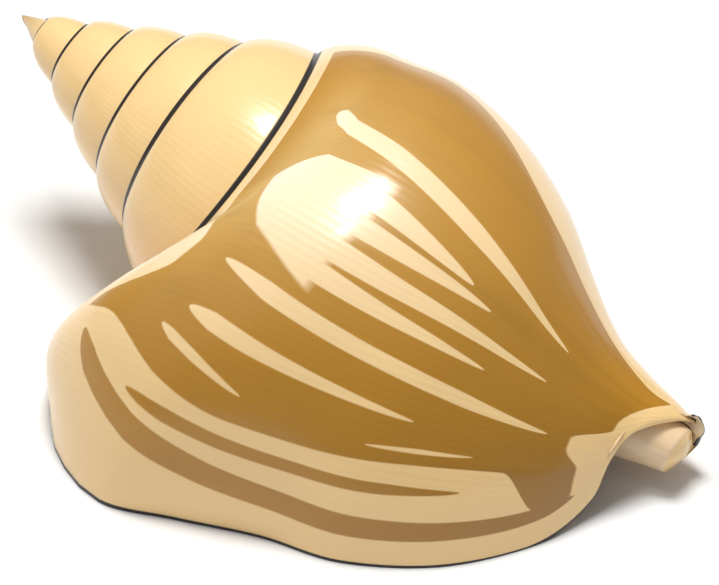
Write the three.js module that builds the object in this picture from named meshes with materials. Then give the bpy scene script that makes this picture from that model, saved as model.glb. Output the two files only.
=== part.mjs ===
import * as THREE from 'three';
import { ParametricGeometry } from 'three/addons/geometries/ParametricGeometry.js';
import { mergeGeometries, mergeVertices } from 'three/addons/utils/BufferGeometryUtils.js';

// Whelk shell lying on its aperture. Lengths in millimetres, angles in degrees.
// The coil axis runs along +X from the apex to the canal and dips towards the canal.
// The outer lip flares towards -Y. +Z is up and the table is z = 0.

// size and attitude
const AXIS_LENGTH = 100;
const AXIS_TILT = 14.5;
const APEX_HEIGHT = 28.1;
const TURNS = 6;

// middle of the footprint, measured from under the apex
const FOOT_X = 47.8;
const FOOT_Y = -9.8;

// suture: where each whorl meets the one before it
const FIRST_SUTURE = 0.6;
const LAST_SUTURE = 31;
const SUTURE_GROWTH = 0.105;
const LAST_SUTURE_TURN = TURNS - 0.629;
const SUTURE_LEAN = 0.15;
const SUTURE_SAG = 6;
const SUTURE_CLIMB = 6;
const SPIRE_SLOPE = 0.51;
const SPIRE_START = 0.35;
const WHORL_BULGE = 0.13;

// body whorl below the suture
const SHOULDER_DROP = 1;
const BODY_SWELL = 0.055;
const BODY_OUTLINE = [
  [0, 1], [0.15, 1.075], [0.32, 1.02], [0.48, 0.85], [0.62, 0.6],
  [0.74, 0.39], [0.84, 0.28], [0.92, 0.215], [0.985, 0.15],
];
const COLUMELLA_OUTLINE = [
  [0, 1], [0.12, 1], [0.27, 0.88], [0.43, 0.74], [0.58, 0.58],
  [0.71, 0.41], [0.82, 0.29], [0.91, 0.22], [0.975, 0.17],
];
const CANAL_BEND = 2.2;
const CANAL_BEND_START = 78;
const CANAL_BEND_SIDE = 313;

// edge of the outer lip: distance along the axis, out to the lip side, height over the table
const LIP_EDGE = [
  [31, 0, 0], [28.5, 6, 0], [26.8, 13, 0], [27.5, 21.5, 0], [31, 30.5, 0], [37, 38, 0],
  [45.8, 42, 0], [55, 39.3, 0], [65, 36, 0], [75, 34.2, 0], [85, 28, 0],
  [91.9, 18.6, 0], [94, 10, 2.5], [93.2, 4.5, 9.3], [97.5, -4.5, 8.5],
];
const LIP_UPPER_SPANS = 6;
const FLARE_TURNS = 0.5;
const FLARE_POWER = 2;
const FLARE_PUFF = 4.5;
const FLARE_LIFT = 4;

// wall and hollow
const WALL = 1.5;
const CANAL_WALL = 0.9;
const HOLLOW_TURNS = 32 / 36;
const CANAL_TURNS = 22 / 36;
const CANAL_RISE = 0.35;
const CORNER_OUTER = 0.14;
const CORNER_INNER = 0.05;

// mesh divisions: round one turn, across a whorl, from a whorl to the canal end
const ROUND = 36;
const ACROSS = 6;
const DOWN = 16;

const RAD = Math.PI / 180;
const COS_TILT = Math.cos(AXIS_TILT * RAD);
const SIN_TILT = Math.sin(AXIS_TILT * RAD);

const clamp = (x) => Math.min(Math.max(x, 0), 1);
const ease = (x) => clamp(x) ** 2 * (3 - 2 * clamp(x));
const mix = (a, b, t) => a + (b - a) * t;
const spline = (list) => new THREE.CatmullRomCurve3(
  list.map((p) => new THREE.Vector3(p[0], p[1], p[2] ?? 0)), false, 'catmullrom', 0.5);

const bodyOutline = spline(BODY_OUTLINE);
const columellaOutline = spline(COLUMELLA_OUTLINE);
const lipEdge = spline(LIP_EDGE);

// ---------------------------------------------------------------- spiral laws

// plain growth of the suture along the axis; n counts turns from the apex
function growth(n) {
  const scale = (LAST_SUTURE - FIRST_SUTURE) / (Math.exp(SUTURE_GROWTH * 5) - 1);
  return FIRST_SUTURE + scale * (Math.exp(SUTURE_GROWTH * (n - LAST_SUTURE_TURN + 5)) - 1);
}

// the last suture dips over the back of the body whorl, then climbs to the lip
function sag(n) {
  return SUTURE_SAG * Math.sin(Math.PI * clamp((n - LAST_SUTURE_TURN + 0.05) / 0.56)) ** 2;
}

function sutureHeight(n) {
  const pitch = growth(n + 0.5) - growth(n - 0.5);
  const lean = SUTURE_LEAN * pitch * Math.cos(2 * Math.PI * (n - LAST_SUTURE_TURN));
  const climb = SUTURE_CLIMB * ease((n - LAST_SUTURE_TURN - 0.33) / 0.27);
  return growth(n) + lean + sag(n) - climb;
}

function sutureRadius(n) {
  return SPIRE_SLOPE * (growth(n) - growth(0)) + SPIRE_START + 0.25 * sag(n);
}

// share of the body-whorl shape at turn n: nothing on the spire, all on the last whorl
const bodyShare = (n, span) => ease((n - TURNS + 1) / span);

// unflared whorl: v 0..1 crosses it from suture to suture, v 1..2 goes on to the canal end
function coil(n, v) {
  const body = bodyShare(n, 0.37);
  const topHeight = sutureHeight(n);
  const topRadius = sutureRadius(n);
  const lowHeight = mix(sutureHeight(n + 1), growth(n + 1) + SHOULDER_DROP + 0.8 * sag(n), body);
  const lowRadius = sutureRadius(n + 1) * (1 + BODY_SWELL * body);
  if (v <= 1) {
    const round = 0.3 * body;
    const bulge = 2.6 * (1 - v) * Math.sqrt(v) * WHORL_BULGE * (lowHeight - topHeight);
    return {
      height: mix(topHeight, lowHeight, v),
      radius: mix(topRadius, lowRadius, v * (1 + round - round * v)) + bulge,
    };
  }
  const inner = columellaOutline.getPoint(v - 1);
  const outline = inner.lerp(bodyOutline.getPoint(v - 1), bodyShare(n, 0.45));
  return {
    height: mix(lowHeight, AXIS_LENGTH, outline.x),
    radius: lowRadius * outline.y,
  };
}

// sideways bend of the canal: towards the back and towards the lip side
function bend(height) {
  const amount = CANAL_BEND * ease((height - CANAL_BEND_START) / (AXIS_LENGTH - CANAL_BEND_START));
  return {
    back: amount * Math.cos(CANAL_BEND_SIDE * RAD),
    side: amount * Math.sin(CANAL_BEND_SIDE * RAD),
  };
}

// the lip edge as height, radius and angle about the bent axis
function lip(v) {
  const upper = LIP_UPPER_SPANS;
  const lower = LIP_EDGE.length - 1 - upper;
  const t = (v <= 1 ? v * upper : upper + (v - 1) * lower) / (upper + lower);
  const p = lipEdge.getPoint(t);
  const off = bend(p.x);
  const back = (p.z - APEX_HEIGHT + p.x * SIN_TILT) / COS_TILT - off.back;
  const side = p.y - off.side;
  const angle = Math.atan2(side, back) / RAD;
  return {
    height: p.x,
    radius: Math.hypot(back, side),
    angle: v < 1 && angle < -90 ? angle + 360 : angle,
  };
}

// ------------------------------------------------------------- outer surface

// from height, radius and angle about the axis to the frame of the table
function place(height, radius, angle, target) {
  const off = bend(height);
  const back = radius * Math.cos(angle * RAD) + off.back;
  const side = radius * Math.sin(angle * RAD) + off.side;
  return target.set(
    height * COS_TILT + back * SIN_TILT - FOOT_X,
    -side - FOOT_Y,
    APEX_HEIGHT - height * SIN_TILT + back * COS_TILT,
  );
}

// the whorl flares into the lip edge over its last half turn
function skin(n, v, target) {
  const plain = coil(n, v);
  const edge = lip(v);
  const late = 1 - ease(v / 1.6);
  const span = FLARE_TURNS - 0.12 * late;
  const along = clamp((n - TURNS + span) / span);
  const hold = ease(v / 0.25);
  const widen = along ** FLARE_POWER;
  const shift = along ** (FLARE_POWER + 0.6 * late) * hold;
  const puff = Math.sin(Math.PI * widen) * ease(v / 0.3) * (1 - ease((v - 0.5) / 0.6));
  const height = mix(plain.height, edge.height, shift) - FLARE_LIFT * puff;
  const radius = mix(plain.radius, edge.radius, widen * hold) + FLARE_PUFF * puff;
  const last = clamp(n - TURNS + 1);
  const short = (180 - edge.angle) / 360;
  const power = Math.min(1 + 0.55 * (1 - short) / Math.max(short, 0.01), 2 + 0.8 * late);
  const angle = 360 * (n - TURNS - short * last ** power) + 180;
  return place(height, radius, angle, target);
}

// the shell is worn flat where it touches the table
function wear(target) {
  target.z = Math.max(target.z, 0);
  return target;
}

const outer = (n, v, target) => wear(skin(n, v, target));

// unit directions of growth, along the outline and outwards
function directions(n, v) {
  const h = 0.004;
  const at = (dn, dv) => skin(Math.min(n + dn, TURNS), Math.min(Math.max(v + dv, 0), 2), new THREE.Vector3());
  const grow = at(h, 0).sub(at(-h, 0)).normalize();
  const down = at(0, h).sub(at(0, -h)).normalize();
  const out = new THREE.Vector3().crossVectors(grow, down).normalize();
  return { grow, down, out };
}

// ------------------------------------------------------------ hollow surface

const wallAt = (v) => mix(WALL, CANAL_WALL, ease((v - 1.5) / 0.4));
const outlineRow = (j) => (j <= ACROSS ? j / ACROSS : 1 + (j - ACROSS) / DOWN);

// inner face of the outer wall, k steps back from the lip, j steps down from the suture
function innerWall(k, j, target) {
  const back = k / ROUND;
  const top = CORNER_OUTER * ease(back / 0.08);
  const end = 2 - CANAL_RISE * ease((back - CANAL_TURNS) / 0.2);
  const v = mix(top, end, outlineRow(j) / 2);
  const n = TURNS - back;
  const thick = wallAt(v) * (k === 0 ? ease(v / 0.35) : 1);
  skin(n, v, target).addScaledVector(directions(n, v).out, -thick);
  return wear(target);
}

// wall of the whorl before, which the hollow winds round
function parietal(k, j, target) {
  const back = k / ROUND;
  const top = 1 + CORNER_INNER * ease(back / 0.08);
  const end = 2 - CANAL_RISE * ease((back - CANAL_TURNS) / 0.2);
  return outer(TURNS - 1 - back, mix(top, end, j / DOWN), target);
}

// crest of the rounded lip and canal edge, between its outer and inner faces
function crest(k, j, target) {
  const v = outlineRow(j);
  const n = TURNS - k / ROUND;
  const d = directions(n, v);
  const turnOver = ease(k / 4);
  const ahead = d.grow.multiplyScalar(1 - turnOver).addScaledVector(d.down, turnOver).normalize();
  const inside = innerWall(k, j, new THREE.Vector3());
  skin(n, v, target).lerp(inside, 0.5);
  target.addScaledVector(ahead, 0.4 * wallAt(v) * ease(v / 0.35));
  return wear(target);
}

// ------------------------------------------------------------------- patches

// grid of columns x rows points; flip turns its faces over
function patch(columns, rows, point, flip = false) {
  const draw = (s, t, target) => point(Math.round(s * columns), Math.round(t * rows), target);
  const turned = (s, t, target) => draw(t, s, target);
  return flip
    ? new ParametricGeometry(turned, rows, columns)
    : new ParametricGeometry(draw, columns, rows);
}

// strip between two edges given as point functions of one step
function strip(steps, edgeA, edgeB, flip) {
  return patch(steps, 1, (i, side, target) => (side === 0 ? edgeA : edgeB)(i, target), flip);
}

const LIP_ROWS = ACROSS + DOWN;
const HOLLOW_STEPS = Math.round(HOLLOW_TURNS * ROUND);
const CANAL_STEPS = Math.round(CANAL_TURNS * ROUND);
const SOLID_STEPS = ROUND - CANAL_STEPS;

const apexPoint = (i, target) => place(growth(0) - 0.5, 0, 0, target);
const canalCentre = (i, target) => place(AXIS_LENGTH - 0.6, 0.3, 180, target);

const patches = [
  // spire and the upper part of the body whorl
  patch(TURNS * ROUND, ACROSS, (i, j, p) => outer(i / ROUND, j / ACROSS, p)),
  // body whorl down to the canal
  patch(ROUND, DOWN, (i, j, p) => outer(TURNS - 1 + i / ROUND, 1 + j / DOWN, p)),
  // apex
  strip(ROUND, (i, p) => outer(i / ROUND, 0, p), apexPoint, true),
  strip(ACROSS, (i, p) => outer(0, 1 - i / ACROSS, p), apexPoint, true),
  // hollow
  patch(HOLLOW_STEPS, DOWN, (k, j, p) => parietal(k, j, p), true),
  patch(HOLLOW_STEPS, LIP_ROWS, (k, j, p) => innerWall(k, j, p)),
  strip(HOLLOW_STEPS, (k, p) => parietal(k, 0, p), (k, p) => innerWall(k, 0, p)),
  strip(
    HOLLOW_STEPS - CANAL_STEPS,
    (i, p) => parietal(CANAL_STEPS + i, DOWN, p),
    (i, p) => innerWall(CANAL_STEPS + i, LIP_ROWS, p),
    true,
  ),
  strip(
    LIP_ROWS,
    (j, p) => innerWall(HOLLOW_STEPS, j, p),
    (j, p) => parietal(HOLLOW_STEPS, Math.max(0, j - ACROSS), p),
    true,
  ),
  // rounded edge of the lip and of the canal
  strip(LIP_ROWS, (j, p) => outer(TURNS, outlineRow(j), p), (j, p) => crest(0, j, p), true),
  strip(LIP_ROWS, (j, p) => crest(0, j, p), (j, p) => innerWall(0, j, p), true),
  strip(CANAL_STEPS, (k, p) => outer(TURNS - k / ROUND, 2, p), (k, p) => crest(k, LIP_ROWS, p), true),
  strip(CANAL_STEPS, (k, p) => crest(k, LIP_ROWS, p), (k, p) => innerWall(k, LIP_ROWS, p), true),
  // closed end of the canal
  strip(SOLID_STEPS, (i, p) => outer(TURNS - 1 + i / ROUND, 2, p), canalCentre, false),
  strip(CANAL_STEPS, (k, p) => parietal(CANAL_STEPS - k, DOWN, p), canalCentre, false),
  strip(
    3,
    (i, p) => [
      (q) => outer(TURNS - CANAL_TURNS, 2, q),
      (q) => crest(CANAL_STEPS, LIP_ROWS, q),
      (q) => innerWall(CANAL_STEPS, LIP_ROWS, q),
      (q) => parietal(CANAL_STEPS, DOWN, q),
    ][i](p),
    canalCentre,
    false,
  ),
];

// one closed skin: shared edges welded, faces with no area left out
function weld(parts) {
  parts.forEach((g) => {
    g.deleteAttribute('normal');
    g.deleteAttribute('uv');
  });
  const whole = mergeVertices(mergeGeometries(parts), 2e-4);
  const index = whole.getIndex();
  const kept = [];
  for (let i = 0; i < index.count; i += 3) {
    const [a, b, c] = [index.getX(i), index.getX(i + 1), index.getX(i + 2)];
    if (a !== b && b !== c && c !== a) {
      kept.push(a, b, c);
    }
  }
  whole.setIndex(kept);
  whole.computeVertexNormals();
  return whole;
}

const shellMaterial = new THREE.MeshStandardMaterial({ color: 0xd9a95c, roughness: 0.45, metalness: 0 });
const shell = new THREE.Mesh(weld(patches), shellMaterial);
shell.name = 'whelk_shell';

const whelk = new THREE.Group();
whelk.name = 'whelk';
whelk.add(shell);

export default whelk;
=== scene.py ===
import math

import bmesh
import bpy
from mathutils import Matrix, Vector


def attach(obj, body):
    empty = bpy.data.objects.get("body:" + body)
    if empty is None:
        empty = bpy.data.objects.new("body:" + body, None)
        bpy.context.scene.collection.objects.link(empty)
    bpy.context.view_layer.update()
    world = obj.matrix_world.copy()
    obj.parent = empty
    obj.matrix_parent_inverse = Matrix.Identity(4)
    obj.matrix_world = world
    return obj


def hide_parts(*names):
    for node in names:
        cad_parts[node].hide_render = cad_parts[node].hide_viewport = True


bl_info = {
    "name": "Whelk shell",
    "version": (1, 0, 0),
    "blender": (4, 5, 0),
    "location": "View3D > Sidebar > Whelk",
    "description": "A whelk shell lying on its mouth, with its pigment and a plain studio",
    "category": "Add Mesh",
}

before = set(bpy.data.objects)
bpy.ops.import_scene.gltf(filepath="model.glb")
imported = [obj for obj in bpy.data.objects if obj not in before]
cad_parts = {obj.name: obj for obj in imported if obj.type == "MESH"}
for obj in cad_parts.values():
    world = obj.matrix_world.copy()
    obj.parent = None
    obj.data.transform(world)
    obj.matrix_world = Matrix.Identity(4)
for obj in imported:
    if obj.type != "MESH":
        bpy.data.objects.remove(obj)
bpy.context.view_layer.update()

MM = 0.001  # sizes of the coil are worked in millimetres
PI = math.pi

# The coil
AXIS_LENGTH = 100
AXIS_TILT = math.radians(14.5)
APEX_HEIGHT = 28.1
FOOT_X = 47.8
FOOT_Y = -9.8
TURNS = 6
FIRST_SUTURE = 0.6
SUTURE_GROWTH = 0.105
SUTURE_SCALE = 30.4 / (math.exp(5 * SUTURE_GROWTH) - 1)
LAST_SUTURE_TURN = TURNS - 0.629
SUTURE_LEAN = 0.15
SUTURE_SAG = 6
SUTURE_CLIMB = 6
SPIRE_SLOPE = 0.51
SPIRE_START = 0.35
WHORL_BULGE = 0.13
SHOULDER_DROP = 1

# Outlines of the last whorl from its shoulder to the canal, and of the pillar:
# share of the way down, then share of the radius
BODY_OUTLINE = [
    (0, 1), (0.15, 1.075), (0.32, 1.02), (0.48, 0.85), (0.62, 0.6),
    (0.74, 0.39), (0.84, 0.28), (0.92, 0.215), (0.985, 0.15),
]
PILLAR_OUTLINE = [
    (0, 1), (0.12, 1), (0.27, 0.88), (0.43, 0.74), (0.58, 0.58),
    (0.71, 0.41), (0.82, 0.29), (0.91, 0.22), (0.975, 0.17),
]

# The lip: along the axis, out to the side, above the table
LIP_EDGE = [
    (31, 0, 0), (28.5, 6, 0), (26.8, 13, 0), (27.5, 21.5, 0), (31, 30.5, 0),
    (37, 38, 0), (45.8, 42, 0), (55, 39.3, 0), (65, 36, 0), (75, 34.2, 0),
    (85, 28, 0), (91.9, 18.6, 0), (94, 10, 2.5), (93.2, 4.5, 9.3), (97.5, -4.5, 8.5),
]
LIP_UPPER_SPANS = 6
FLARE_TURNS = 0.5
FLARE_LIFT = 4

CANAL_BEND = 2.2
CANAL_BEND_START = 78
CANAL_BEND_SIDE = math.radians(313)
HOLLOW_TURNS = 32 / 36
CANAL_TURNS = 22 / 36
CANAL_RISE = 0.35
CORNER_OUTER = 0.14
CORNER_INNER = 0.05
CORNER_DEPTH = 0.08
CANAL_CLOSING = 0.2
LIP_THINNING = 0.35  # how far down the lip reaches its full thickness
LIP_DEPTH = 1 / 36
LIP_PROUD = 0.4  # how far the rounded lip stands out, as a share of its thickness
CREST_TURN = 1 / 9

# In the map Whorl the hollow's turns are moved on by ten, and the lip's rise by a little from edge to edge
INSIDE = 10
LIP_WIDTH_IN_MAP = 0.05

# Fineness of the mesh: steps round a turn, across a whorl, from there down to the canal, and over the lip
ROUND = 144
ACROSS = 16
DOWN = 72
CREST = 6
TIP = 0.004  # half the distance over which directions are taken, in turns
FLOOR_GAP = 0.00005  # keeps the floor just clear of the flat that the shell rests on, in metres


class Term:
    """A socket of a node tree, used in sums as the number, vector or colour that it carries."""

    def __init__(self, nodes, socket):
        self.nodes = nodes
        self.socket = socket

    def is_vector(self):
        return self.socket.type == "VECTOR"

    def maths(self, operation, *others, clamped=False):
        settings = {"operation": operation, "use_clamp": clamped}
        return self.nodes.add("ShaderNodeMath", settings, dict(enumerate((self, *others))))

    def vectors(self, operation, *others, output=0):
        values = dict(enumerate((self, *others)))
        return self.nodes.add("ShaderNodeVectorMath", {"operation": operation}, values, output)

    def both(self, operation, other):
        return self.vectors(operation, other) if self.is_vector() else self.maths(operation, other)

    def __add__(self, other):
        return self.both("ADD", other)

    __radd__ = __add__

    def __sub__(self, other):
        return self.both("SUBTRACT", other)

    def __rsub__(self, other):
        return self.nodes.add("ShaderNodeMath", {"operation": "SUBTRACT"}, {0: other, 1: self})

    def __mul__(self, other):
        if not self.is_vector():
            if isinstance(other, Term) and other.is_vector():
                return other * self
            return self.maths("MULTIPLY", other)
        return self.nodes.add("ShaderNodeVectorMath", {"operation": "SCALE"}, {0: self, "Scale": other})

    __rmul__ = __mul__

    def __truediv__(self, other):
        return self.maths("DIVIDE", other)

    def __rtruediv__(self, other):
        return self.nodes.add("ShaderNodeMath", {"operation": "DIVIDE"}, {0: other, 1: self})

    def __pow__(self, other):
        return self.maths("POWER", other)

    def __neg__(self):
        return self * -1

    def __gt__(self, other):
        return self.maths("GREATER_THAN", other)

    def __lt__(self, other):
        return self.maths("LESS_THAN", other)


class Nodes:
    """A node tree, and the one way in which nodes are added to it."""

    def __init__(self, tree):
        self.tree = tree

    def add(self, kind, settings=None, values=None, output=0):
        """A node of that type: its settings are set first, then the values or links of its sockets."""
        node = self.tree.nodes.new(kind)
        for name, value in (settings or {}).items():
            setattr(node, name, value)
        for name, value in (values or {}).items():
            if isinstance(value, Term):
                self.tree.links.new(value.socket, node.inputs[name])
            elif isinstance(value, list):
                for term in value:
                    self.tree.links.new(term.socket, node.inputs[name])
            elif value is not None:
                node.inputs[name].default_value = value
        return Term(self, node.outputs[output]) if node.outputs else node

    def given(self, name):
        """The tree's own input of that name."""
        for node in self.tree.nodes:
            if node.bl_idname == "NodeGroupInput":
                return Term(self, node.outputs[name])
        node = self.tree.nodes.new("NodeGroupInput")
        return Term(self, node.outputs[name])

    def use(self, tree, values, output=0):
        """A group of nodes, given its inputs by name."""
        return self.add("GeometryNodeGroup", {"node_tree": tree}, values, output)

    def xyz(self, x, y, z):
        return self.add("ShaderNodeCombineXYZ", None, {0: x, 1: y, 2: z})

    def split(self, vector):
        first = self.add("ShaderNodeSeparateXYZ", None, {0: vector})
        return first, Term(self, first.socket.node.outputs[1]), Term(self, first.socket.node.outputs[2])

    def finish(self, values):
        """Links the tree's outputs."""
        self.add("NodeGroupOutput", None, values)


def new_tree(name, inputs, outputs):
    """An empty Geometry Nodes tree. Each input is a name, a socket type, a default and a description."""
    tree = bpy.data.node_groups.new(name, "GeometryNodeTree")
    for label, kind, default, words in inputs:
        socket = tree.interface.new_socket(label, in_out="INPUT", socket_type=kind, description=words)
        if default is not None:
            socket.default_value = default
    for label, kind in outputs:
        tree.interface.new_socket(label, in_out="OUTPUT", socket_type=kind)
    return Nodes(tree)


def clamp(x):
    return x.maths("ADD", 0.0, clamped=True)


def ease(x):
    """0 up to 0, 1 from 1, and smooth between."""
    x = clamp(x)
    return x * x * (3 - 2 * x)


def mix(a, b, share):
    """a at share 0, b at share 1."""
    return share * (b - a) + a


def choose(test, yes, no):
    """yes where the test is 1, no where it is 0."""
    return mix(no, yes, test)


def sine(x):
    return x.maths("SINE")


def cosine(x):
    return x.maths("COSINE")


def size_inputs():
    """The shell's sizes, as inputs of its trees."""
    return [
        ("Whorl bulge", "NodeSocketFloat", WHORL_BULGE, "How far a whorl stands out between its sutures"),
        ("Body swell", "NodeSocketFloat", 0.055, "How much wider the last whorl is"),
        ("Lip puff", "NodeSocketFloat", 4.5, "How far the last whorl swells before its lip, in millimetres"),
    ]


def passed_on(nodes):
    return {label: nodes.given(label) for label, _, _, _ in size_inputs()}


def weight_tree():
    """The share of one guide point in a smooth curve through them all, by its distance in steps."""
    inputs = [("Distance", "NodeSocketFloat", 0.0, "Steps away")]
    nodes = new_tree("Guide weight", inputs, [("Weight", "NodeSocketFloat")])
    x = nodes.given("Distance").maths("ABSOLUTE").maths("MINIMUM", 2.0)
    near = (1.5 * x - 2.5) * x * x + 1
    far = ((-0.5 * x + 2.5) * x - 4) * x + 2
    nodes.finish({0: choose(x < 1.0, near, far)})
    return nodes.tree


def through(nodes, weight, points, share):
    """Smooth curves through the points, one for each of their numbers, at a share of the way along."""
    last = len(points) - 1
    before = [2 * a - b for a, b in zip(points[0], points[1])]
    after = [2 * a - b for a, b in zip(points[last], points[last - 1])]
    totals = [None] * len(points[0])
    for step, point in enumerate([before, *points, after], start=-1):
        part = nodes.use(weight, {"Distance": share * last - step})
        for k, number in enumerate(point):
            if number:
                totals[k] = part * number if totals[k] is None else part * number + totals[k]
    return totals


def growth(n):
    """Distance of a plain suture from the apex, along the axis."""
    swelling = ((n - (LAST_SUTURE_TURN - 5)) * SUTURE_GROWTH).maths("EXPONENT")
    return swelling * SUTURE_SCALE + (FIRST_SUTURE - SUTURE_SCALE)


GROWTH_AT_START = (
    SUTURE_SCALE * math.exp(SUTURE_GROWTH * (5 - LAST_SUTURE_TURN)) + FIRST_SUTURE - SUTURE_SCALE
)


def sag(n):
    return sine(clamp((n - (LAST_SUTURE_TURN - 0.05)) / 0.56) * PI) ** 2.0 * SUTURE_SAG


def suture_height(n):
    lean = (growth(n + 0.5) - growth(n - 0.5)) * cosine((n - LAST_SUTURE_TURN) * (2 * PI)) * SUTURE_LEAN
    climb = ease((n - (LAST_SUTURE_TURN + 0.33)) / 0.27) * SUTURE_CLIMB
    return growth(n) + lean + sag(n) - climb


def suture_radius(n):
    return (growth(n) - GROWTH_AT_START) * SPIRE_SLOPE + SPIRE_START + sag(n) * 0.25


def skin_tree():
    """The outer skin, by turns round the coil and the way down: suture 0, next suture 1, canal's end 2."""
    inputs = [
        ("Turn", "NodeSocketFloat", 0.0, "Turns round the coil, from the apex"),
        ("Down", "NodeSocketFloat", 0.0, "From suture, 0, to suture, 1, to the canal's end, 2"),
    ]
    nodes = new_tree("Whelk skin", inputs + size_inputs(), [("Position", "NodeSocketVector")])
    weight = weight_tree()
    n = nodes.given("Turn")
    v = nodes.given("Down")

    # the plain coil
    body = ease((n - (TURNS - 1)) / 0.37)
    next_plain = growth(n + 1)
    top = suture_height(n)
    low = mix(suture_height(n + 1), next_plain + SHOULDER_DROP + 0.8 * sag(n), body)
    top_radius = suture_radius(n)
    low_radius = suture_radius(n + 1) * (nodes.given("Body swell") * body + 1)
    u = clamp(v)
    round_off = body * 0.3
    bulge = 2.6 * (1 - u) * u.maths("SQRT") * nodes.given("Whorl bulge") * (low - top)
    whorl_height = mix(top, low, u)
    whorl_radius = mix(top_radius, low_radius, u * (1 + round_off - round_off * u)) + bulge
    x = clamp(v - 1)
    shoulder = ease((n - (TURNS - 1)) / 0.45)
    pillar = through(nodes, weight, PILLAR_OUTLINE, x)
    outer = through(nodes, weight, BODY_OUTLINE, x)
    far = mix(pillar[0], outer[0], shoulder)
    wide = mix(pillar[1], outer[1], shoulder)
    below = v > 1.0
    height = choose(below, mix(low, AXIS_LENGTH, far), whorl_height)
    radius = choose(below, low_radius * wide, whorl_radius)

    # the lip that it grows out to
    spans = len(LIP_EDGE) - 1
    lip_share = (u * LIP_UPPER_SPANS + x * (spans - LIP_UPPER_SPANS)) / spans
    edge_height, edge_side, edge_rise = through(nodes, weight, LIP_EDGE, lip_share)

    def bend(h):
        amount = ease((h - CANAL_BEND_START) / (AXIS_LENGTH - CANAL_BEND_START)) * CANAL_BEND
        return amount * math.cos(CANAL_BEND_SIDE), amount * math.sin(CANAL_BEND_SIDE)

    back, side = bend(edge_height)
    back = (edge_rise - APEX_HEIGHT + edge_height * math.sin(AXIS_TILT)) / math.cos(AXIS_TILT) - back
    side = edge_side - side
    edge_radius = (back * back + side * side).maths("SQRT")
    edge_angle = side.maths("ARCTAN2", back) * (180 / PI)
    edge_angle = edge_angle + (v < 1.0) * (edge_angle < -90.0) * 360

    late = 1 - ease(v / 1.6)
    span = FLARE_TURNS - 0.12 * late
    along = clamp((n - TURNS + span) / span)
    hold = ease(v / 0.25)
    widen = along * along
    shift = along ** (2 + 0.6 * late) * hold
    puff = sine(widen * PI) * ease(v / 0.3) * (1 - ease((v - 0.5) / 0.6))
    height = mix(height, edge_height, shift) - puff * FLARE_LIFT
    radius = mix(radius, edge_radius, widen * hold) + puff * nodes.given("Lip puff")
    last = clamp(n - (TURNS - 1))
    short = (180 - edge_angle) / 360
    power = (1 + 0.55 * (1 - short) / short.maths("MAXIMUM", 0.01)).maths("MINIMUM", 2 + 0.8 * late)
    angle = ((n - TURNS - short * last**power) * 360 + 180) * (PI / 180)

    # on to the table
    bend_back, bend_side = bend(height)
    back = radius * cosine(angle) + bend_back
    side = radius * sine(angle) + bend_side
    x = height * math.cos(AXIS_TILT) + back * math.sin(AXIS_TILT) - FOOT_X
    y = -side - FOOT_Y
    z = APEX_HEIGHT - height * math.sin(AXIS_TILT) + back * math.cos(AXIS_TILT)
    nodes.finish({0: nodes.xyz(x, y, z)})
    return nodes.tree


def worn(position):
    """Worn flat where it would reach below the table."""
    return position.vectors("MAXIMUM", (-1000.0, -1000.0, 0.0))


def wall_tree(skin):
    """The inner wall, and the lip rounded over to it, by turns back from the lip and the way down."""
    inputs = [
        ("Back", "NodeSocketFloat", 0.0, "Turns back from the lip"),
        ("Row", "NodeSocketFloat", 0.0, "The way down, as in the skin"),
        ("Over", "NodeSocketFloat", 0.0, "From the outer skin, 0, over the lip to the inner wall, 1"),
        ("Wall", "NodeSocketFloat", 1.5, "Thickness of the wall, in millimetres"),
        ("Canal wall", "NodeSocketFloat", 0.9, "Thickness of the wall at the canal's end, in millimetres"),
    ]
    outputs = [("Inner", "NodeSocketVector"), ("Lip", "NodeSocketVector")]
    nodes = new_tree("Whelk wall", inputs + size_inputs(), outputs)
    sizes = passed_on(nodes)
    back = nodes.given("Back")
    row = nodes.given("Row")

    def at(turn, down):
        return nodes.use(skin, {"Turn": turn, "Down": down, **sizes})

    def thickness(v):
        return mix(nodes.given("Wall"), nodes.given("Canal wall"), ease((v - 1.5) / 0.4))

    def directions(turn, v):
        grow = at((turn + TIP).maths("MINIMUM", float(TURNS)), v) - at(turn - TIP, v)
        down = at(turn, (v + TIP).maths("MINIMUM", 2.0)) - at(turn, (v - TIP).maths("MAXIMUM", 0.0))
        return grow, down

    turn = TURNS - back
    start = ease(back / CORNER_DEPTH) * CORNER_OUTER
    end = 2 - CANAL_RISE * ease((back - CANAL_TURNS) / CANAL_CLOSING)
    v = mix(start, end, row / 2)
    grow, down = directions(turn, v)
    out = grow.vectors("CROSS_PRODUCT", down).vectors("NORMALIZE")
    thin = mix(ease(v / LIP_THINNING), 1, clamp(back / LIP_DEPTH))
    inner = worn(at(turn, v) - out * (thickness(v) * thin))

    grow, down = directions(turn, row)
    share = ease(back / CREST_TURN)
    ahead = mix(grow.vectors("NORMALIZE"), down.vectors("NORMALIZE"), share).vectors("NORMALIZE")
    outer = worn(at(turn, row))
    swing = nodes.given("Over") * PI
    middle = (outer + inner) * 0.5
    half = (outer - inner) * 0.5
    proud = thickness(row) * ease(row / LIP_THINNING) * sine(swing) * LIP_PROUD
    lip = worn(middle + half * cosine(swing) + ahead * proud)
    nodes.finish({0: inner, 1: lip})
    return nodes.tree


def across_down(step):
    """The way down at a step across the whorl and then down to the canal."""
    return clamp(step / ACROSS) + clamp((step - ACROSS) / DOWN)


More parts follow.
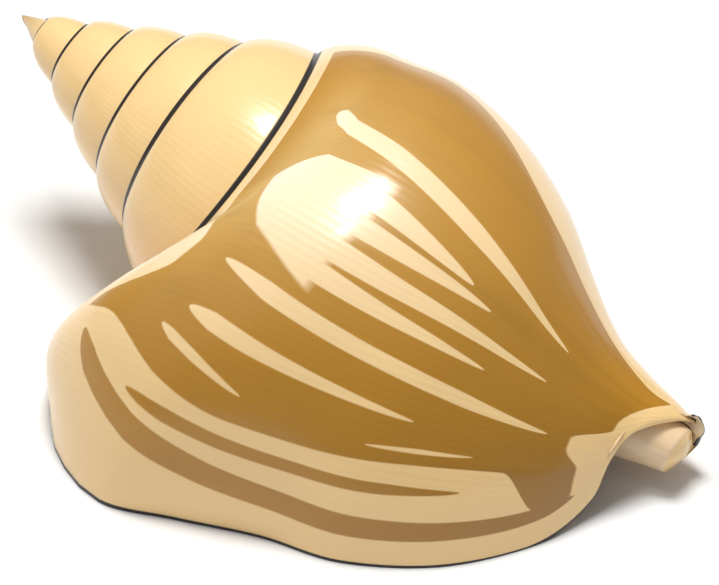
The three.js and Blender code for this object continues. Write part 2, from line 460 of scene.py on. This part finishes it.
def shell_tree(skin, wall):
    """The whole closed shell, patch by patch."""
    inputs = [
        ("Wall", "NodeSocketFloat", 1.5, "Thickness of the wall, in millimetres"),
        ("Canal wall", "NodeSocketFloat", 0.9, "Thickness of the wall at the canal's end, in millimetres"),
        ("Growth relief", "NodeSocketFloat", 0.05, "Height of the growth ridges, in millimetres"),
        ("Material", "NodeSocketMaterial", None, "Finish of the shell"),
    ]
    nodes = new_tree("Whelk shell", inputs + size_inputs(), [("Shell", "NodeSocketGeometry")])
    sizes = passed_on(nodes)
    walls = {"Wall": nodes.given("Wall"), "Canal wall": nodes.given("Canal wall")}
    rows = ACROSS + DOWN
    canal = CANAL_TURNS * ROUND
    place = nodes.add("GeometryNodeInputPosition")
    s, t, _ = nodes.split(place + (0.5, 0.5, 0.0))

    def sheet(columns, lines):
        values = {"Size X": 1.0, "Size Y": 1.0, "Vertices X": columns + 1, "Vertices Y": lines + 1}
        return nodes.add("GeometryNodeMeshGrid", None, values)

    def keep(geometry, name, value, kind, domain):
        settings = {"data_type": kind, "domain": domain}
        values = {"Geometry": geometry, "Name": name, "Value": value}
        return nodes.add("GeometryNodeStoreNamedAttribute", settings, values)

    def patch(geometry, turn, down, position, relief=None):
        """A grid that keeps its turn and way down as the map Whorl, and moves to its place."""
        geometry = keep(geometry, "Whorl", nodes.xyz(turn, down, 0.0), "FLOAT2", "CORNER")
        geometry = keep(geometry, "Relief", 0.0 if relief is None else relief, "FLOAT", "POINT")
        return nodes.add("GeometryNodeSetPosition", None, {"Geometry": geometry, "Position": position})

    def outer(turn, down):
        return worn(nodes.use(skin, {"Turn": turn, "Down": down, **sizes}))

    def walled(back, row, over, output):
        return nodes.use(wall, {"Back": back, "Row": row, "Over": over, **walls, **sizes}, output)

    def pillar(back, row):
        """The whorl before, seen inside the mouth."""
        start = 1 + CORNER_INNER * ease(back / CORNER_DEPTH)
        end = 2 - CANAL_RISE * ease((back - CANAL_TURNS) / CANAL_CLOSING)
        return outer((TURNS - 1) - back, mix(start, end, row - 1))

    def ridges(turn, down, depth):
        """Growth ridges across the whorls, gone at the sutures."""
        broad = sine(turn * (2 * PI * 23))
        fine = 0.6 * sine(turn * (2 * PI * 61))
        between = 0.35 * sine(turn * (2 * PI * 37) + 1.3)
        edges = ease(down / 0.12) * ease((depth - down) / 0.12)
        return (broad + fine + between) * edges * ease(turn - 0.3)

    # spire
    turn = s * (TURNS - 1)
    spire = patch(sheet((TURNS - 1) * ROUND, ACROSS), turn, t, outer(turn, t), ridges(turn, t, 1))

    # last whorl
    turn = s + (TURNS - 1)
    down = across_down(t * rows)
    relief = ridges(turn, down, 2) * ease((TURNS - turn) / 0.04) * ease((turn - TURNS + 1) / 0.05)
    body = patch(sheet(ROUND, rows), turn, down, outer(turn, down), relief)

    # hollow: down its inner wall, up the pillar and round to the start, open along the canal
    lines = rows + 1 + DOWN + 1
    step = t * lines
    back = s * HOLLOW_TURNS
    closing = step > lines - 0.5
    row = across_down(step) * (1 - closing)
    pillar_row = clamp((rows + 1 + DOWN - step) / DOWN) + 1
    on_pillar = (step > rows + 0.5) * (1 - closing)
    hollow = sheet(round(HOLLOW_TURNS * ROUND), lines)
    between = (step > rows + 0.2) * (step < rows + 0.8) * (back < CANAL_TURNS)
    hollow = nodes.add(
        "GeometryNodeDeleteGeometry", {"domain": "FACE"}, {"Geometry": hollow, "Selection": between}
    )
    inside = choose(on_pillar, pillar(back, pillar_row), walled(back, row, 0.0, 0))
    hollow = patch(hollow, (TURNS + INSIDE) - back, choose(on_pillar, pillar_row, row), inside)

    # lip, from the suture down to the canal and back along the canal's end
    step = s * (rows + canal)
    row = across_down(step.maths("MINIMUM", float(rows)))
    back = (step - rows).maths("MAXIMUM", 0.0) / ROUND
    turn = TURNS + LIP_WIDTH_IN_MAP * t - back
    lip = patch(sheet(round(rows + canal), CREST), turn, row, walled(back, row, t, 1))

    # end of the hollow
    row = across_down(s * rows)
    depth = 0 * s + HOLLOW_TURNS
    far_wall = pillar(depth, row.maths("MAXIMUM", 1.0))
    end = choose(t > 0.5, far_wall, walled(depth, row, 0.0, 0))
    hollow_end = patch(sheet(rows, 1), (TURNS + INSIDE) - 1 + 0 * s, row, end)

    # canal's end: a fan from its rim to its centre
    solid = ROUND - canal
    steps = round(solid + CREST + 1 + canal)
    step = s * steps
    turn = clamp(step / solid) * (solid / ROUND) + (TURNS - 1)
    back = clamp((solid + CREST + 1 + canal - step) / canal) * CANAL_TURNS
    late = step > solid + CREST + 0.5
    over_lip = (step > solid + 0.5) * (1 - late)
    ring = outer(choose(late, (TURNS - 1) - back, turn), 2.0)
    across = walled(CANAL_TURNS, 2.0, clamp((step - solid) / CREST), 1)
    ring = choose(over_lip, across, ring)
    canal_end = patch(sheet(steps, 1), turn, 1.99, choose(t > 0.5, nodes.xyz(*CANAL_CENTRE), ring))

    # apex: a fan from the first turn to its point
    steps = ROUND + ACROSS
    step = s * steps
    first_turn = step < ROUND + 0.5
    turn = first_turn * clamp(step / ROUND)
    ring = outer(turn, clamp((steps - step) / ACROSS) * (1 - first_turn))
    apex = patch(sheet(steps, 1), 0.5 * t, 0.5, choose(t > 0.5, nodes.xyz(*APEX_POINT), ring))

    parts = [spire, body, hollow, lip, hollow_end, canal_end, apex]
    joined = nodes.add("GeometryNodeJoinGeometry", None, {0: parts})
    joined = nodes.add("GeometryNodeMergeByDistance", None, {"Geometry": joined, "Distance": 0.004})
    relief = nodes.add("GeometryNodeInputNamedAttribute", {"data_type": "FLOAT"}, {"Name": "Relief"})
    normal = nodes.add("GeometryNodeInputNormal")
    shaped = worn(place + normal * (relief * nodes.given("Growth relief") * 0.5)) * MM
    joined = nodes.add("GeometryNodeSetPosition", None, {"Geometry": joined, "Position": shaped})
    joined = nodes.add("GeometryNodeRealizeInstances", None, {"Geometry": joined})
    values = {"Geometry": joined, "Material": nodes.given("Material")}
    nodes.finish({0: nodes.add("GeometryNodeSetMaterial", None, values)})
    return nodes.tree


def on_table(height, radius, angle):
    """A point of the coil, in millimetres, as the skin tree places it."""
    amount = (height - CANAL_BEND_START) / (AXIS_LENGTH - CANAL_BEND_START)
    amount = min(max(amount, 0), 1)
    amount = CANAL_BEND * amount * amount * (3 - 2 * amount)
    back = radius * math.cos(angle) + amount * math.cos(CANAL_BEND_SIDE)
    side = radius * math.sin(angle) + amount * math.sin(CANAL_BEND_SIDE)
    return (
        height * math.cos(AXIS_TILT) + back * math.sin(AXIS_TILT) - FOOT_X,
        -side - FOOT_Y,
        APEX_HEIGHT - height * math.sin(AXIS_TILT) + back * math.cos(AXIS_TILT),
    )


APEX_POINT = on_table(GROWTH_AT_START - 0.5, 0, 0)
CANAL_CENTRE = on_table(99.4, 0.3, PI)


# Pigment on the last whorl. "Share" is the share of its turn, up to the lip.
# "Down" is the way down, from 0 to 2.
# Each edge of the brown keeps to one value, then changes in eased steps: (from, over, change).
BROWN_START = (0.43, [(1.1, 0.3, 0.07), (1.6, 0.25, 0.05)])
BROWN_END = (0.84, [(0.7, 0.45, 0.055), (1.25, 0.3, -0.015), (1.55, 0.08, 0.065)])
BROWN_TOP = (0.2, [(0.64, 0.12, 0.6), (0.78, 0.05, -0.2)])
BROWN_FOOT = (1.85, [(0.55, 0.2, -0.1), (0.77, 0.04, -0.1), (0.83, 0.05, 0.04)])

# The cream patch: its crown, how its upper side falls away towards the lip, its other side's width, its foot
PATCH_CROWN_SHARE = 0.65
PATCH_CROWN_DOWN = 0.6
PATCH_FALL = 5
PATCH_SIDE = 0.025
PATCH_FOOT = 1.15

# Each mark runs from a start (down, share) to an end, with a bow in between.
# Then come its half width, and how far down its round start and its taper reach.
CREAM_FLAMES = [
    ((0.7, 0.56), (1.55, 0.65), -0.01, 0.0115, 0.1, 0.25),
    ((1.0, 0.77), (1.6, 0.81), 0, 0.0085, 0.1, 0.15),
    ((1.0, 0.82), (1.4, 0.84), 0, 0.008, 0.05, 0.3),
    ((0.95, 0.84), (1.15, 0.87), 0, 0.0045, 0.05, 0.1),
    ((1.35, 0.875), (1.5, 0.865), 0, 0.003, 0.08, 0.08),
    ((1.0, 0.645), (1.35, 0.67), -0.005, 0.0125, 0.1, 0.2),
    ((1.0, 0.68), (1.4, 0.685), 0, 0.0125, 0.1, 0.3),
    ((1.0, 0.71), (1.55, 0.725), 0, 0.0135, 0.1, 0.5),
    ((1.05, 0.735), (1.45, 0.755), 0, 0.011, 0.1, 0.35),
]
BROWN_STREAKS = [
    ((0.95, 0.9), (1.5, 0.91), 0.0125, 0.006, 0.1, 0.1),
    ((0.7, 0.865), (1.7, 0.94), 0.05, 0.011, 0.1, 0.05),
]


def srgb(red, green, blue):
    """A colour by its display values from 0 to 255, as Blender keeps it."""
    linear = [(c / 255 / 12.92) if c < 11 else ((c / 255 + 0.055) / 1.055) ** 2.4 for c in (red, green, blue)]
    return (*linear, 1.0)


def stepped(x, edge):
    """An edge at x: its first value, changed by each of its eased steps."""
    value, steps = edge
    for start, over, change in steps:
        value = ease((x - start) / over) * change + value
    return value


def soft(x, width):
    """0 below, 1 above, over a width."""
    return clamp(x / width + 0.5)


def mark(down, share, shape):
    """One long mark: bowed, round where it starts and tapered where it ends."""
    (first, share_there), (last, share_below), bow, half, rounding, taper = shape
    along = (down - first) / (last - first)
    middle = share_there + along * (share_below - share_there) + along * (1 - along) * (4 * bow)
    wide = clamp((down - first) / rounding).maths("SQRT") * clamp((last - down) / taper).maths("SQRT") * half
    inside = (down > first) * (down < last)
    return soft(wide - (share - middle).maths("ABSOLUTE"), 0.0015) * inside


def cream_patch(down, share):
    """The patch that the flames run out of."""
    towards_lip = (share - PATCH_CROWN_SHARE).maths("MAXIMUM", 0.0)
    away = (PATCH_CROWN_SHARE - share).maths("MAXIMUM", 0.0) / PATCH_SIDE
    top = PATCH_CROWN_DOWN + towards_lip * PATCH_FALL + away * away * 0.5
    return soft(down - top, 0.02) * soft(PATCH_FOOT - down, 0.02)


def blend_colour(nodes, share, below, above):
    """The colour below, covered by the colour above."""
    settings = {"data_type": "RGBA"}
    return nodes.add("ShaderNodeMix", settings, {0: share, 6: below, 7: above}, 2)


def shell_finish(colours):
    """Glazed shell: cream with a brown last whorl, cream flames, dark sutures that are partly painted shade
    and a dark lip, with a painted highlight at the last whorl's crown and painted shade on its brown towards
    the canal.
    """
    material = bpy.data.materials.new("Glazed whelk")
    material.use_nodes = True
    material.node_tree.nodes.clear()
    nodes = Nodes(material.node_tree)
    whorl = nodes.add("ShaderNodeUVMap", {"uv_map": "Whorl"})
    turn, down, _ = nodes.split(whorl)
    share = turn - (TURNS - 1)
    outside = (turn < 9.0) * 1.0
    last_whorl = (turn > TURNS - 0.99) * (turn < TURNS + 0.001)
    place = nodes.add("ShaderNodeTexCoord", None, None, 3)

    along = nodes.xyz(turn * 26, down * 1.6, 0.0)
    streak = nodes.add("ShaderNodeTexNoise", None, {"Vector": along, "Scale": 1.0, "Detail": 4.0})
    cloud = nodes.add("ShaderNodeTexNoise", None, {"Vector": place, "Scale": 90.0, "Detail": 3.0})

    area = soft(share - stepped(down, BROWN_START), 0.0015) * soft(stepped(down, BROWN_END) - share, 0.0015)
    area = area * soft(down - stepped(share, BROWN_TOP), 0.012)
    area = area * soft(stepped(share, BROWN_FOOT) - down, 0.006)
    flames = cream_patch(down, share)
    for shape in CREAM_FLAMES:
        flames = flames.maths("MAXIMUM", mark(down, share, shape))
    brown = area * (1 - flames)
    for shape in BROWN_STREAKS:
        brown = brown.maths("MAXIMUM", mark(down, share, shape))
    brown = brown * last_whorl

    # Painted highlight: a soft round bloom at the crown of the last whorl, which lightens the brown towards
    # pale brown and the cream towards the highlight colour
    painted_highlight = ((share - 0.64) / 0.15) ** 2.0 + ((down - 0.72) / 0.5) ** 2.0
    painted_highlight = (painted_highlight * -1.0).maths("EXPONENT")
    # Painted shade: the brown darkens towards the canal and towards the lip; the darker streaks mixed in with
    # it are pattern
    painted_shade = clamp((down - 1.15) / 0.7) * clamp((share - 0.6) / 0.3)
    ochre = blend_colour(nodes, painted_highlight * 0.85, tuple(colours.brown), tuple(colours.streak_and_highlight_brown))
    shade_and_streaks = painted_shade * 0.6 + soft(streak - 0.62, 0.2) * 0.15
    ochre = blend_colour(nodes, shade_and_streaks, ochre, tuple(colours.streak_and_shade_brown))
    far_side = 1 - clamp((share - 0.3) / 0.1) * last_whorl
    tint = soft(streak - 0.54, 0.25) * (0.08 + 0.2 * far_side * (turn > TURNS - 1)) + (cloud - 0.5) * 0.12
    cream = blend_colour(nodes, clamp(tint), tuple(colours.cream), tuple(colours.streak_and_highlight_brown))
    # The same painted highlight, on the cream
    cream = blend_colour(nodes, painted_highlight * last_whorl * 0.7, cream, tuple(colours.highlight))
    colour = blend_colour(nodes, brown, cream, ochre)

    # Dark lines: near-black along the sutures, where it is partly painted shade in their creases and partly a
    # dark line, and round the lip's edge
    suture = soft(0.045 - down, 0.01) + soft(down - 0.958, 0.01) * (turn < TURNS - 1.001)
    edge = soft(turn - (TURNS - 0.003), 0.0008) * (turn < TURNS + 0.02) + soft(down - 1.992, 0.004)
    lines = clamp(suture + edge) * outside
    colour = blend_colour(nodes, lines, colour, tuple(colours.line))
    streaked = soft(streak - 0.5, 0.4) * 0.3
    throat = blend_colour(nodes, streaked, tuple(colours.inside), tuple(colours.streak_and_highlight_brown))
    colour = blend_colour(nodes, 1 - outside, colour, throat)

    roughness = 0.3 + (cloud - 0.5) * 0.12 + lines * 0.25
    lirae = sine(turn * (2 * PI * 120) + streak * 9) * 0.5 + streak * 1.5 + cloud * 0.5
    bump = nodes.add("ShaderNodeBump", None, {"Strength": 0.12, "Distance": 0.0001, "Height": lirae})
    values = {
        "Base Color": colour, "Roughness": roughness, "Normal": bump,
        "Coat Weight": 0.5, "Coat Roughness": 0.12,
    }
    shader = nodes.add("ShaderNodeBsdfPrincipled", None, values)
    nodes.add("ShaderNodeOutputMaterial", None, {"Surface": shader})
    return material


def plain_finish(name, colour, roughness):
    """A matt, plain finish for the studio."""
    material = bpy.data.materials.new(name)
    material.use_nodes = True
    material.node_tree.nodes.clear()
    nodes = Nodes(material.node_tree)
    shader = nodes.add("ShaderNodeBsdfPrincipled", None, {"Base Color": colour, "Roughness": roughness})
    nodes.add("ShaderNodeOutputMaterial", None, {"Surface": shader})
    return material


def length(name, words, default):
    return bpy.props.FloatProperty(name=name, description=words, default=default, unit="LENGTH", precision=5)


def colour_of(name, words, default):
    return bpy.props.FloatVectorProperty(
        name=name, description=words, default=default, size=4, min=0, max=1, subtype="COLOR"
    )


class WhelkSizes(bpy.types.PropertyGroup):
    """Sizes of the shell."""

    wall: length("Wall", "Thickness of the shell's wall", 0.0015)
    canal_wall: length("Canal wall", "Thickness of the wall at the canal's end", 0.0009)
    relief: length("Growth relief", "Height of the growth ridges", 0.00002)
    lip_puff: length("Lip puff", "How far the last whorl swells before its lip", 0.0045)
    bulge: bpy.props.FloatProperty(
        name="Whorl bulge", description="How far a whorl stands out between its sutures", default=WHORL_BULGE
    )
    swell: bpy.props.FloatProperty(
        name="Body swell", description="How much wider the last whorl is", default=0.055, subtype="FACTOR"
    )


class WhelkColours(bpy.types.PropertyGroup):
    """Colours of the shell."""

    cream: colour_of("Cream", "Ground colour of the shell", srgb(248, 210, 146))
    # Highlight is the colour of the painted highlight at the crown of the last whorl
    highlight: colour_of("Highlight", "Bleached cream at the crown of the last whorl", srgb(255, 246, 228))
    brown: colour_of("Brown", "Brown of the last whorl", srgb(184, 128, 22))
    # Pale brown is the colour of the painted highlight on the brown, and of the soft streaks on the cream and
    # inside the mouth
    streak_and_highlight_brown: colour_of("Pale brown", "Brown where it is thin", srgb(214, 176, 108))
    # Deep brown is the colour of the painted shade on the brown towards the canal and the lip, and of its
    # darker streaks
    streak_and_shade_brown: colour_of("Deep brown", "Brown towards the canal", srgb(122, 86, 14))
    # Line is the near-black of the lines along the sutures, partly painted shade in their creases, and round
    # the lip's edge
    line: colour_of("Line", "Pigment in the sutures and on the lip", srgb(30, 20, 12))
    inside: colour_of("Inside", "Glaze inside the mouth", srgb(244, 214, 176))


class StudioSettings(bpy.types.PropertyGroup):
    """The camera's place and the studio."""

    azimuth: bpy.props.FloatProperty(
        name="Azimuth",
        description="Turn of the camera round the shell",
        default=math.radians(35),
        subtype="ANGLE",
    )
    elevation: bpy.props.FloatProperty(
        name="Elevation",
        description="Height of the camera above level",
        default=math.radians(41),
        subtype="ANGLE",
    )
    distance: length("Distance", "From the camera to the point that it looks at", 1.458)
    lens: bpy.props.FloatProperty(name="Lens", description="Focal length in millimetres", default=600.0)
    aim: bpy.props.FloatVectorProperty(
        name="Aim",
        description="The point that the camera looks at",
        default=(0.007, 0.002, 0.0167),
        subtype="XYZ",
    )
    floor: colour_of("Floor", "Colour of the floor", srgb(240, 240, 240))


def camera_axes(studio):
    """Right, up and back of the camera."""
    a, e = studio.azimuth, studio.elevation
    back = Vector((math.sin(a) * math.cos(e), -math.cos(a) * math.cos(e), math.sin(e)))
    right = Vector((math.cos(a), math.sin(a), 0))
    return right, back.cross(right), back


class WHELK_OT_camera(bpy.types.Operator):
    """Puts the camera in its place"""

    bl_idname = "whelk.camera"
    bl_label = "Make camera"

    def execute(self, context):
        studio = context.scene.whelk_studio
        _, _, back = camera_axes(studio)
        data = bpy.data.cameras.new("Camera")
        data.lens = studio.lens
        data.sensor_width = 36
        camera = bpy.data.objects.new("Camera", data)
        context.scene.collection.objects.link(camera)
        camera.location = Vector(studio.aim) + back * studio.distance
        camera.rotation_mode = "QUATERNION"
        camera.rotation_quaternion = (-back).to_track_quat("-Z", "Y")
        context.scene.camera = camera
        return {"FINISHED"}


class WHELK_OT_shell(bpy.types.Operator):
    """Makes the whelk shell in place of its plain CAD node"""

    bl_idname = "whelk.shell"
    bl_label = "Make shell"

    def execute(self, context):
        sizes = context.scene.whelk_sizes
        skin = skin_tree()
        tree = shell_tree(skin, wall_tree(skin))
        maker = bpy.data.objects.new("Shell maker", bpy.data.meshes.new("Empty"))
        context.scene.collection.objects.link(maker)
        modifier = maker.modifiers.new("Coil", "NODES")
        modifier.node_group = tree
        given = {
            "Wall": sizes.wall / MM,
            "Canal wall": sizes.canal_wall / MM,
            "Growth relief": sizes.relief / MM,
            "Lip puff": sizes.lip_puff / MM,
            "Whorl bulge": sizes.bulge,
            "Body swell": sizes.swell,
            "Material": shell_finish(context.scene.whelk_colours),
        }
        for item in tree.interface.items_tree:
            if item.item_type == "SOCKET" and item.in_out == "INPUT":
                modifier[item.identifier] = given[item.name]
        made = maker.evaluated_get(context.evaluated_depsgraph_get())
        mesh = bpy.data.meshes.new_from_object(made)
        bpy.data.objects.remove(maker)
        if not mesh.polygons:
            raise RuntimeError("The shell came out empty")
        mesh.name = "Whelk"
        close_mesh(mesh)
        shell = bpy.data.objects.new("Whelk", mesh)
        context.scene.collection.objects.link(shell)
        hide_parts("whelk_shell")
        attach(shell, "root")
        return {"FINISHED"}


def close_mesh(mesh):
    """Turns the faces outwards and shades them smooth. Raises if the shell is open."""
    work = bmesh.new()
    work.from_mesh(mesh)
    bmesh.ops.recalc_face_normals(work, faces=work.faces)
    if any(not edge.is_manifold for edge in work.edges):
        raise RuntimeError("The shell is not closed")
    for face in work.faces:
        face.smooth = True
    work.to_mesh(mesh)
    work.free()
    if "Relief" in mesh.attributes:
        mesh.attributes.remove(mesh.attributes["Relief"])


class WHELK_OT_studio(bpy.types.Operator):
    """Makes the floor and the lights"""

    bl_idname = "whelk.studio"
    bl_label = "Make studio"

    def execute(self, context):
        scene = context.scene
        studio = scene.whelk_studio
        right, up, back = camera_axes(studio)
        work = bmesh.new()
        bmesh.ops.create_grid(work, x_segments=1, y_segments=1, size=3)
        mesh = bpy.data.meshes.new("Floor")
        work.to_mesh(mesh)
        work.free()
        floor = bpy.data.objects.new("Floor", mesh)
        floor.location.z = -FLOOR_GAP
        mesh.materials.append(plain_finish("Pale floor", tuple(studio.floor), 0.9))
        scene.collection.objects.link(floor)
        aim = Vector(studio.aim)
        lights = [
            ("Key", right * -0.02 + up * 0.56 + back * 0.36, 0.2, 4.1),
            ("Glint", right * -0.06 + up * 0.42 + back * 0.48, 0.06, 0.35),
            ("Fill", right * -0.5 + up * 0.1 + back * 0.4, 0.5, 0.25),
        ]
        for name, place, size, power in lights:
            data = bpy.data.lights.new(name, "AREA")
            data.size = size
            data.energy = power
            light = bpy.data.objects.new(name, data)
            light.location = aim + place
            light.rotation_mode = "QUATERNION"
            light.rotation_quaternion = (-place).to_track_quat("-Z", "Y")
            scene.collection.objects.link(light)
        world = bpy.data.worlds.new("Studio")
        scene.world = world
        world.use_nodes = True
        background = world.node_tree.nodes["Background"]
        background.inputs["Color"].default_value = (1, 1, 1, 1)
        background.inputs["Strength"].default_value = 0.28
        scene.view_settings.view_transform = "Standard"
        return {"FINISHED"}


class WHELK_PT_panel(bpy.types.Panel):
    """Lists what the script can make"""

    bl_label = "Whelk shell"
    bl_idname = "WHELK_PT_panel"
    bl_space_type = "VIEW_3D"
    bl_region_type = "UI"
    bl_category = "Whelk"

    def draw(self, context):
        layout = self.layout
        for group in (context.scene.whelk_sizes, context.scene.whelk_colours, context.scene.whelk_studio):
            box = layout.box()
            for name in group.__annotations__:
                box.prop(group, name)
        for operator in OPERATORS:
            layout.operator(operator.bl_idname)


OPERATORS = [WHELK_OT_camera, WHELK_OT_shell, WHELK_OT_studio]
CLASSES = [WhelkSizes, WhelkColours, StudioSettings, *OPERATORS, WHELK_PT_panel]


def register():
    for one in CLASSES:
        bpy.utils.register_class(one)
    bpy.types.Scene.whelk_sizes = bpy.props.PointerProperty(type=WhelkSizes)
    bpy.types.Scene.whelk_colours = bpy.props.PointerProperty(type=WhelkColours)
    bpy.types.Scene.whelk_studio = bpy.props.PointerProperty(type=StudioSettings)


def unregister():
    del bpy.types.Scene.whelk_studio
    del bpy.types.Scene.whelk_colours
    del bpy.types.Scene.whelk_sizes
    for one in reversed(CLASSES):
        bpy.utils.unregister_class(one)


def main():
    register()
    bpy.ops.whelk.camera()
    bpy.ops.whelk.shell()
    bpy.ops.whelk.studio()


if __name__ == "__main__":
    main()
